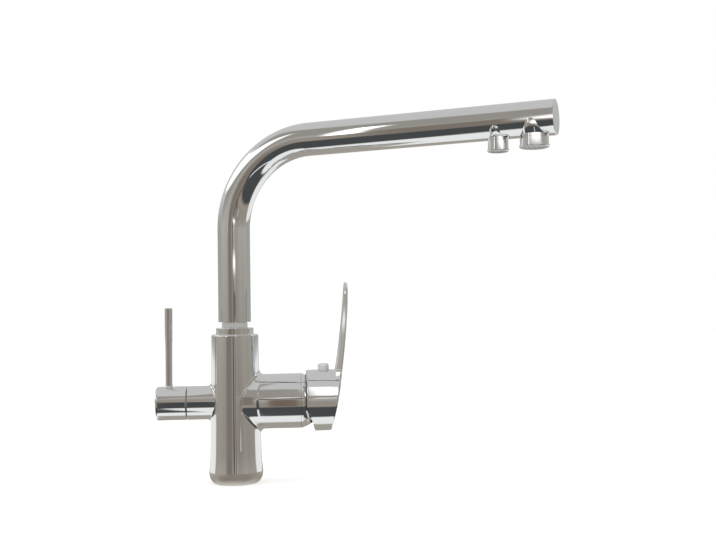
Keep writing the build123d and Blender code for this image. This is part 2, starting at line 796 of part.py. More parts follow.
# Filter knob with its pin lever and set screw
with BuildPart() as filter_knob:
    with BuildSketch(left_plane(knob_start)):
        Circle(knob_radius)
    extrude(amount=knob_end - knob_start)
    fillet(filter_knob.edges().sort_by(Axis.X)[0], knob_end_rounding)
    fillet(filter_knob.edges().sort_by(Axis.X)[-1], knob_edge_rounding)
    with BuildSketch(left_plane(knob_start)):
        Circle(knob_cavity_radius)
    extrude(amount=knob_cavity_end - knob_start, mode=Mode.SUBTRACT)
    with BuildSketch(left_plane(knob_cavity_end)):
        Rectangle(spindle_square + fixed_gap * 2, spindle_square + fixed_gap * 2)
    extrude(amount=spindle_end + axial_gap - knob_cavity_end, mode=Mode.SUBTRACT)
    with BuildSketch(Plane.XY.offset(branch_height + pin_foot_rise)):
        with Locations((-pin_lever_x, 0)):
            Circle(pin_lever_radius + fixed_gap)
    extrude(amount=knob_radius, mode=Mode.SUBTRACT)
    with BuildSketch(Plane.XY.offset(branch_height + pin_seat_rise)):
        with Locations((-pin_lever_x, 0)):
            Circle(pin_flare_radius + fixed_gap)
    extrude(amount=knob_radius, mode=Mode.SUBTRACT)
    with BuildSketch(Plane.XY.offset(branch_height)):
        with Locations((-knob_screw_x, 0)):
            Circle(knob_screw_radius + fixed_gap)
    extrude(amount=-knob_radius, mode=Mode.SUBTRACT)

pin_side = Plane(origin=(-pin_lever_x, 0, branch_height), x_dir=(1, 0, 0), z_dir=(0, -1, 0))
with BuildPart() as pin_lever:
    with BuildSketch(pin_side):
        with BuildLine():
            shank = Polyline(
                (pin_lever_radius, pin_seat_rise + pin_flare_height),
                (pin_lever_radius, pin_lever_rise - pin_tip_chamfer),
                (pin_lever_radius - pin_tip_chamfer, pin_lever_rise),
                (0, pin_lever_rise),
                (0, pin_foot_rise),
                (pin_lever_radius, pin_foot_rise),
                (pin_lever_radius, pin_seat_rise),
                (pin_flare_radius, pin_seat_rise),
            )
            TangentArc(shank @ 0, shank @ 1, tangent=(0, -1))
        make_face()
    revolve(axis=Axis((-pin_lever_x, 0, branch_height), (0, 0, 1)))

with BuildPart() as knob_screw:
    with BuildSketch(Plane.XY.offset(branch_height - spindle_square / 2 - fixed_gap)):
        with Locations((-knob_screw_x, 0)):
            Circle(knob_screw_radius)
    extrude(amount=-knob_screw_length)
    with BuildSketch(Plane(knob_screw.faces().sort_by(Axis.Z)[0])):
        RegularPolygon(screw_socket_radius, 6)
    extrude(amount=-screw_socket_depth, mode=Mode.SUBTRACT)

# Spout tube: one bend, open at the foot, with a hole under the arm for each outlet
with BuildPart() as spout_tube:
    with BuildLine(arm_side) as spout_path:
        rise = Line((0, tube_foot), (0, arm_height - bend_radius))
        bend = TangentArc(rise @ 1, arm_side.from_local_coords((bend_radius, arm_height)), tangent=rise % 1)
        Line(bend @ 1, arm_side.from_local_coords((cap_start, arm_height)))
    with BuildSketch(Plane.XY.offset(tube_foot)):
        Circle(tube_radius)
        Circle(tube_inner_radius, mode=Mode.SUBTRACT)
    sweep(path=spout_path.wires()[0])
    spigots = {filter_outlet_distance: filter_spigot_radius, mixed_outlet_distance: mixed_spigot_radius}
    for distance, hole_radius in spigots.items():
        with BuildSketch(level_plane(distance, 0)):
            Circle(hole_radius + fixed_gap)
        extrude(amount=-tube_radius - overrun, mode=Mode.SUBTRACT)

# Nipple: soldered into the tube's foot, turns in the column on two seals and a clip
with BuildPart() as spout_nipple:
    with BuildSketch(Plane.XZ):
        with BuildLine():
            Polyline(
                (nipple_bore_radius, nipple_foot),
                (nipple_radius, nipple_foot),
                (nipple_radius, tube_foot),
                (tube_inner_radius - fixed_gap, tube_foot),
                (tube_inner_radius - fixed_gap, tube_foot + nipple_plug_length),
                (nipple_bore_radius, tube_foot + nipple_plug_length),
                close=True,
            )
        make_face()
    revolve(axis=Axis.Z)
    for groove_low in seal_groove_lows:
        with BuildSketch(Plane.XY.offset(groove_low)):
            Circle(nipple_radius)
            Circle(nipple_radius - seal_groove_depth, mode=Mode.SUBTRACT)
        extrude(amount=seal_groove_width, mode=Mode.SUBTRACT)
    with BuildSketch(Plane.XY.offset(clip_low - fixed_gap)):
        Circle(nipple_radius)
        Circle(clip_bore_radius - fixed_gap, mode=Mode.SUBTRACT)
    extrude(amount=nipple_clip_thickness + fixed_gap * 2, mode=Mode.SUBTRACT)

with BuildPart() as nipple_seals:
    with BuildSketch(Plane.XZ):
        for groove_low in seal_groove_lows:
            with Locations((nipple_radius - seal_groove_depth / 2, groove_low + seal_groove_width / 2)):
                Circle(seal_groove_depth / 2 - fixed_gap)
    revolve(axis=Axis.Z)

with BuildPart() as nipple_clip:
    with BuildSketch(Plane.XY.offset(clip_low)):
        Circle(nipple_clip_radius)
        Circle(clip_bore_radius, mode=Mode.SUBTRACT)
        with Locations((0, nipple_clip_radius)):
            Rectangle(nipple_clip_gap, nipple_clip_radius, mode=Mode.SUBTRACT)
    extrude(amount=nipple_clip_thickness)

with BuildPart() as end_cap:
    with BuildSketch(arm_across(cap_start)):
        Circle(tube_radius)
    extrude(amount=end_cap_thickness)
    fillet(end_cap.edges().sort_by(Axis.X)[-1], end_cap_rounding)
    with BuildSketch(arm_across(cap_start)):
        Circle(tube_inner_radius - fixed_gap)
    extrude(amount=-end_cap_spigot)

# Inner tube: carries filtered water from the column to its own outlet
with BuildPart() as inner_tube:
    with BuildLine(arm_side) as inner_path:
        rise = Line((0, seat_floor - inner_tube_foot_depth), (0, arm_height - bend_radius))
        bend = TangentArc(rise @ 1, arm_side.from_local_coords((bend_radius, arm_height)), tangent=rise % 1)
        run_end = filter_outlet_distance - inner_tube_drop_radius
        run = Line(bend @ 1, arm_side.from_local_coords((run_end, arm_height)))
        drop = TangentArc(
            run @ 1,
            arm_side.from_local_coords((filter_outlet_distance, arm_height - inner_tube_drop_radius)),
            tangent=run % 1,
        )
        Line(drop @ 1, arm_side.from_local_coords((filter_outlet_distance, arm_height - inner_tube_end_drop)))
    with BuildSketch(Plane.XY.offset(seat_floor - inner_tube_foot_depth)):
        Circle(inner_tube_radius)
        Circle(inner_tube_bore_radius, mode=Mode.SUBTRACT)
    sweep(path=inner_path.wires()[0])

# Outlets. Each is a flared socket brazed under the tube, a screwed housing, its seal and insert
outlet_sizes = {
    "filter_outlet": (
        filter_outlet_distance,
        filter_neck_radius,
        filter_saddle_half_width,
        filter_bore_radius,
        filter_spigot_radius,
        filter_insert_rings,
        filter_sleeve_drop,
        inner_tube_radius + fixed_gap,
        filter_saddle_top_drop,
        filter_outlet_drop,
    ),
    "mixed_outlet": (
        mixed_outlet_distance,
        mixed_neck_radius,
        mixed_saddle_half_width,
        mixed_bore_radius,
        mixed_spigot_radius,
        mixed_insert_rings,
        mixed_spigot_drop,
        mixed_bore_radius,
        mixed_saddle_top_drop,
        mixed_outlet_drop,
    ),
}
outlet_pieces = {}
for outlet, sizes in outlet_sizes.items():
    distance, neck, half_width, bore, spigot, rings, spigot_drop, inlet, top_drop, drop = sizes
    top_half_width = (tube_radius ** 2 - top_drop ** 2) ** 0.5 - saddle_top_inset
    side = arm_plane(distance)
    axis = Axis(side.origin, (0, 0, 1))
    thread = bore - fixed_gap
    lip = neck + outlet_lip_proud
    insert = neck - outlet_lip_wall
    pitch = (insert - insert_edge) / rings

    with BuildPart() as socket:
        with BuildSketch(level_plane(distance, top_drop)):
            Ellipse(neck + saddle_top_flare, top_half_width)
        with BuildSketch(level_plane(distance, saddle_middle_drop)):
            Ellipse(neck + saddle_middle_flare, half_width)
        with BuildSketch(level_plane(distance, outlet_groove_drop)):
            Circle(neck)
        loft()
        with BuildSketch(level_plane(distance, outlet_groove_drop)):
            Circle(neck - outlet_groove_depth)
        extrude(amount=-outlet_groove_width)
        with BuildSketch(level_plane(distance, outlet_socket_drop)):
            Circle(neck)
        extrude(amount=outlet_socket_drop - outlet_groove_drop - outlet_groove_width)
        with BuildSketch(arm_across(distance)):
            Circle(tube_radius)
        extrude(amount=neck * 2, both=True, mode=Mode.SUBTRACT)
        with BuildSketch(side):
            with Locations((0, -outlet_socket_drop)):
                Rectangle(spigot, outlet_socket_drop - spigot_drop, align=(Align.MIN, Align.MIN))
        revolve(axis=axis)
        with BuildSketch(side):
            with Locations((0, -outlet_socket_drop)):
                Rectangle(bore, outlet_thread_length, align=(Align.MIN, Align.MIN))
                Rectangle(inlet, outlet_socket_drop, align=(Align.MIN, Align.MIN))
        revolve(axis=axis, mode=Mode.SUBTRACT)
    outlet_pieces[outlet + "_socket"] = socket

    with BuildPart() as seal:
        with BuildSketch(side):
            with Locations((thread + outlet_seal_width / 2, -housing_top_drop)):
                Rectangle(outlet_seal_width - fixed_gap * 2, outlet_seal_depth, align=(Align.CENTER, Align.MAX))
        revolve(axis=axis)
    outlet_pieces[outlet + "_seal"] = seal

    with BuildPart() as body:
        with BuildSketch(side):
            with BuildLine():
                Polyline(
                    (thread - outlet_wall, -drop),
                    (lip, -drop),
                    (lip, outlet_lip_height - drop),
                    (neck, outlet_lip_height - drop),
                    (neck, -housing_top_drop),
                    (thread + outlet_seal_width, -housing_top_drop),
                    (thread + outlet_seal_width, -housing_top_drop - outlet_seal_depth),
                    (thread, -housing_top_drop - outlet_seal_depth),
                    (thread, outlet_thread_length - axial_gap - outlet_socket_drop),
                    (thread - outlet_wall, outlet_thread_length - axial_gap - outlet_socket_drop),
                    close=True,
                )
            make_face()
        revolve(axis=axis)
        rim = body.edges().filter_by(GeomType.CIRCLE).group_by(Axis.Z)[0].sort_by(SortBy.RADIUS)[-1]
        fillet(rim, outlet_lip_rounding)
        with BuildSketch(side):
            with Locations((0, -drop)):
                Rectangle(insert, insert_recess + insert_thickness, align=(Align.MIN, Align.MIN))
        revolve(axis=axis, mode=Mode.SUBTRACT)
    outlet_pieces[outlet + "_housing"] = body

    with BuildPart() as mesh:
        with BuildSketch(level_plane(distance, drop - insert_recess)):
            Circle(insert - fixed_gap)
            RegularPolygon(insert_hole_radius, 6, mode=Mode.SUBTRACT)
            for ring in range(1, rings + 1):
                with PolarLocations(ring * pitch, ring * 6):
                    RegularPolygon(insert_hole_radius, 6, mode=Mode.SUBTRACT)
        extrude(amount=insert_thickness)
    outlet_pieces[outlet + "_insert"] = mesh

# Every piece under its own name
pieces = {
    "tap_column": tap_column,
    "base_ring": base_ring,
    "base_gasket": base_gasket,
    "spout_collar": spout_collar,
    "upper_slide_ring": upper_slide_ring,
    "lower_slide_ring": lower_slide_ring,
    "inner_tube_seal": inner_tube_seal,
    "cartridge_base": cartridge_base,
    "cartridge_seals": cartridge_seals,
    "fixed_disc": fixed_disc,
    "moving_disc": moving_disc,
    "disc_driver": disc_driver,
    "cartridge_housing": cartridge_housing,
    "cartridge_rotor": cartridge_rotor,
    "stem_pin": stem_pin,
    "cartridge_nut": cartridge_nut,
    "barrel_cover": barrel_cover,
    "cartridge_stem": cartridge_stem,
    "mixer_lever": mixer_lever,
    "lever_screw": lever_screw,
    "index_plug": index_plug,
    "valve_seat_seal": valve_seat_seal,
    "valve_fixed_disc": valve_fixed_disc,
    "valve_turning_disc": valve_turning_disc,
    "valve_body": valve_body,
    "valve_spindle": valve_spindle,
    "spindle_seal": spindle_seal,
    "spindle_clip": spindle_clip,
    "filter_knob": filter_knob,
    "pin_lever": pin_lever,
    "knob_screw": knob_screw,
    "spout_tube": spout_tube,
    "spout_nipple": spout_nipple,
    "nipple_seals": nipple_seals,
    "nipple_clip": nipple_clip,
    "end_cap": end_cap,
    "inner_tube": inner_tube,
}
for name, piece in (pieces | outlet_pieces).items():
    piece.part.label = name
    export_step(piece.part, f"parts/{name}.step")
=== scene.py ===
import json
import math

import bpy
from mathutils import Matrix, Vector

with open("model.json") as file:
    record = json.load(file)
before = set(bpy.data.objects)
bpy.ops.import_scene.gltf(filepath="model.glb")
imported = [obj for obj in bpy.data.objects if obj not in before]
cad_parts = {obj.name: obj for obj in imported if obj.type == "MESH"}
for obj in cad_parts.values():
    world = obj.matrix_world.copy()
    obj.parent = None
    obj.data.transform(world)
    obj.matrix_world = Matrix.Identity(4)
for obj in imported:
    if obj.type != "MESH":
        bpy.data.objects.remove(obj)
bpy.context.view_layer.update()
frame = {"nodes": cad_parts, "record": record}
nodes = frame["nodes"]
scene = bpy.context.scene

# Camera, as fitted to the photograph: metres, degrees and millimetres of lens
CAMERA_PLACE = Vector((0.03702, -0.77974, 0.12300))
CAMERA_YAW = -4.35
CAMERA_PITCH = 2.85
CAMERA_ROLL = -0.99
CAMERA_LENS = 50.28
CAMERA_SENSOR = 36.0
CAMERA_NEAREST = 0.01

# Smudges: how they stretch up the tap, and where wiping marks and spots start and end in their patterns
SMUDGE_SCALE = 22.0
SMUDGE_STRETCH = (1.0, 1.0, 0.45)
SMUDGE_DETAIL = 6.0
SMUDGE_RAGGEDNESS = 0.62
WIPED_START = 0.46
WIPED_END = 0.74
SPOT_FINENESS = 7.0
SPOT_RIM = 0.14
SPOT_CORE = 0.08
SPOT_STRENGTH = 0.5

# Grain
GRAIN_DETAIL = 4.0
BUMP_DEPTH = 0.00002

# What the chrome mirrors of the studio, in linear light
ROOM_LOW = (0.385, 0.356, 0.312)
ROOM = (0.43, 0.405, 0.360)
ROOM_BRIGHT = (0.53, 0.505, 0.455)
ROOM_HIGH = (0.36, 0.34, 0.31)
ROOM_BROWN = (0.38, 0.33, 0.285)
DARK_BAND = (0.072, 0.078, 0.079)
TABLE = (0.97, 0.99, 0.97)
TABLE_BEHIND = (0.42, 0.39, 0.345)
WALL_BEHIND = (0.40, 0.41, 0.39)
CEILING = (0.64, 0.64, 0.63)
WINDOW_LEFT = (1.45, 1.46, 1.44)
PALE_STRIP = (0.74, 0.69, 0.65)
CARD_BROWN = (0.195, 0.150, 0.118)
CARD_LEFT = (0.24, 0.208, 0.175)
WHITE = (1.0, 1.0, 1.0)
LAMP_WHITE = (1.0, 1.0, 0.99)

# Front of the studio by elevation in degrees, from straight down to straight up
FRONT_HEIGHTS = [
    (-90, TABLE),
    (-64, TABLE),
    (-60, DARK_BAND),
    (-24, DARK_BAND),
    (-19, ROOM_BROWN),
    (-12, ROOM_BROWN),
    (-9, ROOM_LOW),
    (-4, ROOM_LOW),
    (0, ROOM),
    (6, ROOM_BRIGHT),
    (14, ROOM_HIGH),
    (50, ROOM_HIGH),
    (56, CEILING),
    (90, CEILING),
]

# Back of the studio by elevation in degrees
BACK_HEIGHTS = [
    (-90, TABLE),
    (-1.5, TABLE),
    (-0.5, WALL_BEHIND),
    (6, WALL_BEHIND),
    (16, CEILING),
    (90, CEILING),
]

# Light and dark stripes of the front by direction in degrees, from the left to the right
FRONT_STRIPES = [
    (-100, 0.98),
    (-70, 1.0),
    (-48, 0.90),
    (-32, 0.86),
    (-20, 0.74),
    (-9, 0.92),
    (4, 0.90),
    (14, 0.74),
    (26, 0.78),
    (45, 0.92),
    (62, 0.86),
    (100, 0.98),
]

# Patches of the studio. Turns are degrees from the front, with the right positive, and reaches across,
# away and up run from -1 to 1.
RAISED_TURN = (-8.5, -3.4)
RAISED_BY = -0.175
STRIPED_UP = (-0.22, 0.16)
BACK_START = (0.10, 0.22)
SHADED_ACROSS = (-0.35, 0.35)
SHADED_AWAY = (0.58, 0.63)
SHADED_UP = (0.0, -0.04)
WINDOW_TURN = (-128, -61)
WINDOW_UP = (0.33, 0.60)
PALE_TURN = (22, 26)
PALE_UP = (-0.20, -0.075)

# Softness of their edges
CRISP_EDGE = 0.002
WINDOW_SIDE_EDGE = 0.006
PALE_END_EDGE = 0.012
WINDOW_END_EDGE = 0.03
WIDE_EDGE = 0.06

# Middle of every ramp, and half of a card before it is scaled
RAMP_MIDDLE = 0.5
CARD_HALF = 0.5

# Even light on dull surfaces, floor and lamp
SOFT_LIGHT = 0.72
FLOOR_GREY = (0.80, 0.80, 0.80)
FLOOR_LIFT = 0.52
FLOOR_RADIUS = 6.0
FLOOR_SIDES = 96
TOP_LAMP_PLACE = Vector((0.25, -0.15, 1.6))
TOP_LAMP_TARGET = Vector((0.05, 0.0, 0.0))
TOP_LAMP_SIZE = 1.1
TOP_LAMP_POWER = 7.0


def socket(tree, direction, kind, name):
    """A named socket on a node group."""
    tree.interface.new_socket(name=name, in_out=direction, socket_type=kind)


def node(tree, kind, **values):
    """A shader node with its settings given by name."""
    made = tree.nodes.new(kind)
    for name, value in values.items():
        setattr(made, name, value)
    return made


def maths(tree, operation, *values):
    """A Math node fed by sockets or numbers; gives its output."""
    made = node(tree, "ShaderNodeMath", operation=operation)
    for index, value in enumerate(values):
        if isinstance(value, bpy.types.NodeSocket):
            tree.links.new(value, made.inputs[index])
        else:
            made.inputs[index].default_value = value
    return made.outputs[0]


def ramp(tree, factor, stops, place_of):
    """A colour ramp over (degrees, grey or colour) stops, with the rule that places degrees on it."""
    made = node(tree, "ShaderNodeValToRGB")
    elements = made.color_ramp.elements
    while len(elements) > 1:
        elements.remove(elements[-1])
    for index, (degrees, colour) in enumerate(stops):
        place = place_of(degrees)
        element = elements[0] if index == 0 else elements.new(place)
        element.position = place
        if isinstance(colour, (int, float)):
            colour = (colour, colour, colour)
        element.color = (*colour, 1)
    tree.links.new(factor, made.inputs["Fac"])
    return made.outputs["Color"]


def smooth_step(tree, value, start, end):
    """Rises from 0 to 1 between two values, or falls if they are given the other way round."""
    made = node(tree, "ShaderNodeMapRange", interpolation_type="SMOOTHSTEP")
    made.inputs["From Min"].default_value = start
    made.inputs["From Max"].default_value = end
    tree.links.new(value, made.inputs["Value"])
    return made.outputs["Result"]


def band(tree, value, span, edge):
    """1 between the two values of a span, with soft edges."""
    low, high = span
    rise = smooth_step(tree, value, low - edge, low + edge)
    return maths(tree, "MULTIPLY", rise, smooth_step(tree, value, high + edge, high - edge))


def blend(tree, factor, first, second, way="MIX"):
    """Mixes two colours, each a socket or a colour."""
    made = node(tree, "ShaderNodeMix", data_type="RGBA", blend_type=way)
    tree.links.new(factor, made.inputs["Factor"])
    for name, value in (("A", first), ("B", second)):
        if isinstance(value, bpy.types.NodeSocket):
            tree.links.new(value, made.inputs[name])
        else:
            made.inputs[name].default_value = (*value, 1)
    return made.outputs["Result"]


def mixed(tree, factor, first, second):
    """Mixes two shaders by a socket."""
    made = node(tree, "ShaderNodeMixShader")
    tree.links.new(factor, made.inputs["Fac"])
    tree.links.new(first, made.inputs[1])
    tree.links.new(second, made.inputs[2])
    return made.outputs["Shader"]


# Shared surface effects
def build_smudges():
    """Faint wiping marks and dried spots, as a roughness over Object coordinates."""
    tree = bpy.data.node_groups.new("smudges", "ShaderNodeTree")
    socket(tree, "INPUT", "NodeSocketFloat", "Clean Roughness")
    socket(tree, "INPUT", "NodeSocketFloat", "Smudged Roughness")
    socket(tree, "INPUT", "NodeSocketFloat", "Scale")
    socket(tree, "OUTPUT", "NodeSocketFloat", "Roughness")
    group_in = node(tree, "NodeGroupInput")
    group_out = node(tree, "NodeGroupOutput")
    clean = group_in.outputs["Clean Roughness"]
    smudged = group_in.outputs["Smudged Roughness"]
    scale = group_in.outputs["Scale"]
    place = node(tree, "ShaderNodeTexCoord")
    stretch = node(tree, "ShaderNodeMapping")
    stretch.inputs["Scale"].default_value = SMUDGE_STRETCH
    tree.links.new(place.outputs["Object"], stretch.inputs["Vector"])
    cloud = node(tree, "ShaderNodeTexNoise")
    cloud.inputs["Detail"].default_value = SMUDGE_DETAIL
    cloud.inputs["Roughness"].default_value = SMUDGE_RAGGEDNESS
    tree.links.new(stretch.outputs["Vector"], cloud.inputs["Vector"])
    tree.links.new(scale, cloud.inputs["Scale"])
    wiped = smooth_step(tree, cloud.outputs["Fac"], WIPED_START, WIPED_END)
    spots = node(tree, "ShaderNodeTexVoronoi", feature="F1")
    tree.links.new(place.outputs["Object"], spots.inputs["Vector"])
    tree.links.new(maths(tree, "MULTIPLY", scale, SPOT_FINENESS), spots.inputs["Scale"])
    spotted = smooth_step(tree, spots.outputs["Distance"], SPOT_RIM, SPOT_CORE)
    marks = maths(tree, "MAXIMUM", wiped, maths(tree, "MULTIPLY", spotted, SPOT_STRENGTH))
    spread = maths(tree, "SUBTRACT", smudged, clean)
    rough = maths(tree, "ADD", clean, maths(tree, "MULTIPLY", marks, spread))
    tree.links.new(rough, group_out.inputs["Roughness"])
    return tree


def build_grain():
    """Fine uneven colour and a matching height, for moulded, turned and cast surfaces."""
    tree = bpy.data.node_groups.new("grain", "ShaderNodeTree")
    socket(tree, "INPUT", "NodeSocketColor", "Light Colour")
    socket(tree, "INPUT", "NodeSocketColor", "Dark Colour")
    socket(tree, "INPUT", "NodeSocketFloat", "Scale")
    socket(tree, "INPUT", "NodeSocketVector", "Stretch")
    socket(tree, "OUTPUT", "NodeSocketColor", "Colour")
    socket(tree, "OUTPUT", "NodeSocketFloat", "Height")
    group_in = node(tree, "NodeGroupInput")
    group_out = node(tree, "NodeGroupOutput")
    place = node(tree, "ShaderNodeTexCoord")
    stretch = node(tree, "ShaderNodeMapping")
    tree.links.new(place.outputs["Object"], stretch.inputs["Vector"])
    tree.links.new(group_in.outputs["Stretch"], stretch.inputs["Scale"])
    cloud = node(tree, "ShaderNodeTexNoise")
    cloud.inputs["Detail"].default_value = GRAIN_DETAIL
    tree.links.new(stretch.outputs["Vector"], cloud.inputs["Vector"])
    tree.links.new(group_in.outputs["Scale"], cloud.inputs["Scale"])
    colour = blend(
        tree,
        cloud.outputs["Fac"],
        group_in.outputs["Dark Colour"],
        group_in.outputs["Light Colour"],
    )
    tree.links.new(colour, group_out.inputs["Colour"])
    tree.links.new(cloud.outputs["Fac"], group_out.inputs["Height"])
    return tree


SMUDGES = build_smudges()
GRAIN = build_grain()


# Finishes
def material(name, light, dark, clean, smudged, bump, metallic=0.0, grain_scale=400.0, stretch=(1, 1, 1)):
    """A finish: uneven colour, uneven gloss and a fine bump."""
    made = bpy.data.materials.new(name)
    made.use_nodes = True
    tree = made.node_tree
    shader = tree.nodes["Principled BSDF"]
    shader.inputs["Metallic"].default_value = metallic
    grain = node(tree, "ShaderNodeGroup", node_tree=GRAIN)
    grain.inputs["Light Colour"].default_value = (*light, 1)
    grain.inputs["Dark Colour"].default_value = (*dark, 1)
    grain.inputs["Scale"].default_value = grain_scale
    grain.inputs["Stretch"].default_value = stretch
    tree.links.new(grain.outputs["Colour"], shader.inputs["Base Color"])
    smudges = node(tree, "ShaderNodeGroup", node_tree=SMUDGES)
    smudges.inputs["Clean Roughness"].default_value = clean
    smudges.inputs["Smudged Roughness"].default_value = smudged
    smudges.inputs["Scale"].default_value = SMUDGE_SCALE
    tree.links.new(smudges.outputs["Roughness"], shader.inputs["Roughness"])
    relief = node(tree, "ShaderNodeBump")
    relief.inputs["Strength"].default_value = bump
    relief.inputs["Distance"].default_value = BUMP_DEPTH
    tree.links.new(grain.outputs["Height"], relief.inputs["Height"])
    tree.links.new(relief.outputs["Normal"], shader.inputs["Normal"])
    return made


chrome = material(
    "chrome_plate",
    light=(0.80, 0.805, 0.81),
    dark=(0.775, 0.78, 0.785),
    clean=0.045,
    smudged=0.075,
    bump=0.02,
    metallic=1.0,
    grain_scale=60.0,
)
satin_chrome = material(
    "satin_chrome",
    light=(0.84, 0.79, 0.73),
    dark=(0.78, 0.735, 0.68),
    clean=0.56,
    smudged=0.64,
    bump=0.15,
    metallic=1.0,
    grain_scale=260.0,
)
steel = material(
    "turned_steel",
    light=(0.62, 0.62, 0.61),
    dark=(0.50, 0.50, 0.49),
    clean=0.22,
    smudged=0.34,
    bump=0.3,
    metallic=1.0,
    grain_scale=900.0,
    stretch=(1, 1, 0.2),
)
brass = material(
    "turned_brass",
    light=(0.78, 0.60, 0.30),
    dark=(0.66, 0.49, 0.22),
    clean=0.20,
    smudged=0.34,
    bump=0.25,
    metallic=1.0,
    grain_scale=700.0,
)
slide_plastic = material(
    "slide_ring_plastic",
    light=(0.86, 0.86, 0.84),
    dark=(0.80, 0.80, 0.78),
    clean=0.30,
    smudged=0.42,
    bump=0.2,
)
cartridge_plastic = material(
    "cartridge_plastic",
    light=(0.74, 0.74, 0.71),
    dark=(0.67, 0.67, 0.64),
    clean=0.38,
    smudged=0.50,
    bump=0.25,
)
plug_plastic = material(
    "plug_plastic",
    light=(0.95, 0.95, 0.94),
    dark=(0.91, 0.91, 0.90),
    clean=0.12,
    smudged=0.22,
    bump=0.1,
)
insert_plastic = material(
    "insert_plastic",
    light=(0.68, 0.69, 0.70),
    dark=(0.60, 0.61, 0.62),
    clean=0.30,
    smudged=0.42,
    bump=0.2,
)
ceramic = material(
    "lapped_ceramic",
    light=(0.93, 0.93, 0.90),
    dark=(0.89, 0.89, 0.86),
    clean=0.10,
    smudged=0.18,
    bump=0.05,
)
seal_rubber = material(
    "seal_rubber",
    light=(0.035, 0.035, 0.036),
    dark=(0.020, 0.020, 0.021),
    clean=0.48,
    smudged=0.62,
    bump=0.3,
)

SLOT_MATERIALS = {
    "chrome": chrome,
    "steel": steel,
    "brass": brass,
    "slide_plastic": slide_plastic,
    "cartridge_plastic": cartridge_plastic,
    "plug_plastic": plug_plastic,
    "insert_plastic": insert_plastic,
    "ceramic": ceramic,
    "rubber": seal_rubber,
}
NODE_MATERIALS = {"base_ring": satin_chrome}
slot_of_node = {entry["node"]: entry["material_slot"] for entry in frame["record"]["subparts"]}
for name, piece in nodes.items():
    for place in piece.material_slots:
        place.material = NODE_MATERIALS.get(name, SLOT_MATERIALS[slot_of_node[name]])


# Camera
def place_camera():
    """A camera at the photograph's place, turned by yaw, pitch and roll."""
    yaw, pitch, roll = (math.radians(angle) for angle in (CAMERA_YAW, CAMERA_PITCH, CAMERA_ROLL))
    level = Vector((-math.sin(yaw), math.cos(yaw), 0))
    side = Vector((math.cos(yaw), math.sin(yaw), 0))
    ahead = level * math.cos(pitch) + Vector((0, 0, math.sin(pitch)))
    above = level * -math.sin(pitch) + Vector((0, 0, math.cos(pitch)))
    right = side * math.cos(roll) + above * math.sin(roll)
    up = side * -math.sin(roll) + above * math.cos(roll)
    turn = Matrix((right, up, -ahead)).transposed()
    data = bpy.data.cameras.new("photo_camera")
    data.lens = CAMERA_LENS
    data.sensor_width = CAMERA_SENSOR
    data.sensor_fit = "HORIZONTAL"
    data.clip_start = CAMERA_NEAREST
    camera = bpy.data.objects.new("photo_camera", data)
    scene.collection.objects.link(camera)
    camera.matrix_world = Matrix.Translation(CAMERA_PLACE) @ turn.to_4x4()
    scene.camera = camera


# Studio
def height_place(degrees):
    """Where an elevation lies on a ramp from straight down to straight up."""
    return RAMP_MIDDLE + degrees / 180


def turn_place(degrees):
    """Where a direction lies on a ramp from behind, over the left, the front and the right."""
    return RAMP_MIDDLE + degrees / 360


def turn_span(turns):
    """Where two directions lie on that ramp."""
    left, right = turns
    return turn_place(left), turn_place(right)


def build_room(tree):
    """The studio that the metal mirrors, as a colour by direction."""
    place = node(tree, "ShaderNodeTexCoord")
    axes = node(tree, "ShaderNodeSeparateXYZ")
    tree.links.new(place.outputs["Generated"], axes.inputs["Vector"])
    across, away, up = axes.outputs["X"], axes.outputs["Y"], axes.outputs["Z"]
    turn = maths(tree, "ARCTAN2", across, maths(tree, "MULTIPLY", away, -1.0))
    turn = maths(tree, "MULTIPLY_ADD", turn, 1 / math.tau, RAMP_MIDDLE)
    height = maths(tree, "MULTIPLY_ADD", maths(tree, "ARCSINE", up), 1 / math.pi, RAMP_MIDDLE)

    # Front: bands by elevation, which stand higher in one narrow strip, and faint upright stripes
    strip = band(tree, turn, turn_span(RAISED_TURN), CRISP_EDGE)
    raised = maths(tree, "ADD", height, maths(tree, "MULTIPLY", strip, RAISED_BY))
    front = ramp(tree, raised, FRONT_HEIGHTS, height_place)
    stripes = ramp(tree, turn, FRONT_STRIPES, turn_place)
    striped = band(tree, up, STRIPED_UP, WIDE_EDGE)
    front = blend(tree, striped, front, stripes, way="MULTIPLY")

    # Back: table, wall and ceiling, with the table shaded straight behind
    back = ramp(tree, height, BACK_HEIGHTS, height_place)
    middle = band(tree, across, SHADED_ACROSS, WIDE_EDGE)
    shaded = maths(tree, "MULTIPLY", middle, smooth_step(tree, away, *SHADED_AWAY))
    shaded = maths(tree, "MULTIPLY", shaded, smooth_step(tree, up, *SHADED_UP))
    back = blend(tree, shaded, back, TABLE_BEHIND)
    room = blend(tree, smooth_step(tree, away, *BACK_START), front, back)

    # A bright patch high on the left, and a pale strip low on the right
    window_side = band(tree, turn, turn_span(WINDOW_TURN), WINDOW_SIDE_EDGE)
    window = maths(tree, "MULTIPLY", window_side, band(tree, up, WINDOW_UP, WINDOW_END_EDGE))
    room = blend(tree, window, room, WINDOW_LEFT)
    pale_side = band(tree, turn, turn_span(PALE_TURN), CRISP_EDGE)
    pale = maths(tree, "MULTIPLY", pale_side, band(tree, up, PALE_UP, PALE_END_EDGE))
    return blend(tree, pale, room, PALE_STRIP)


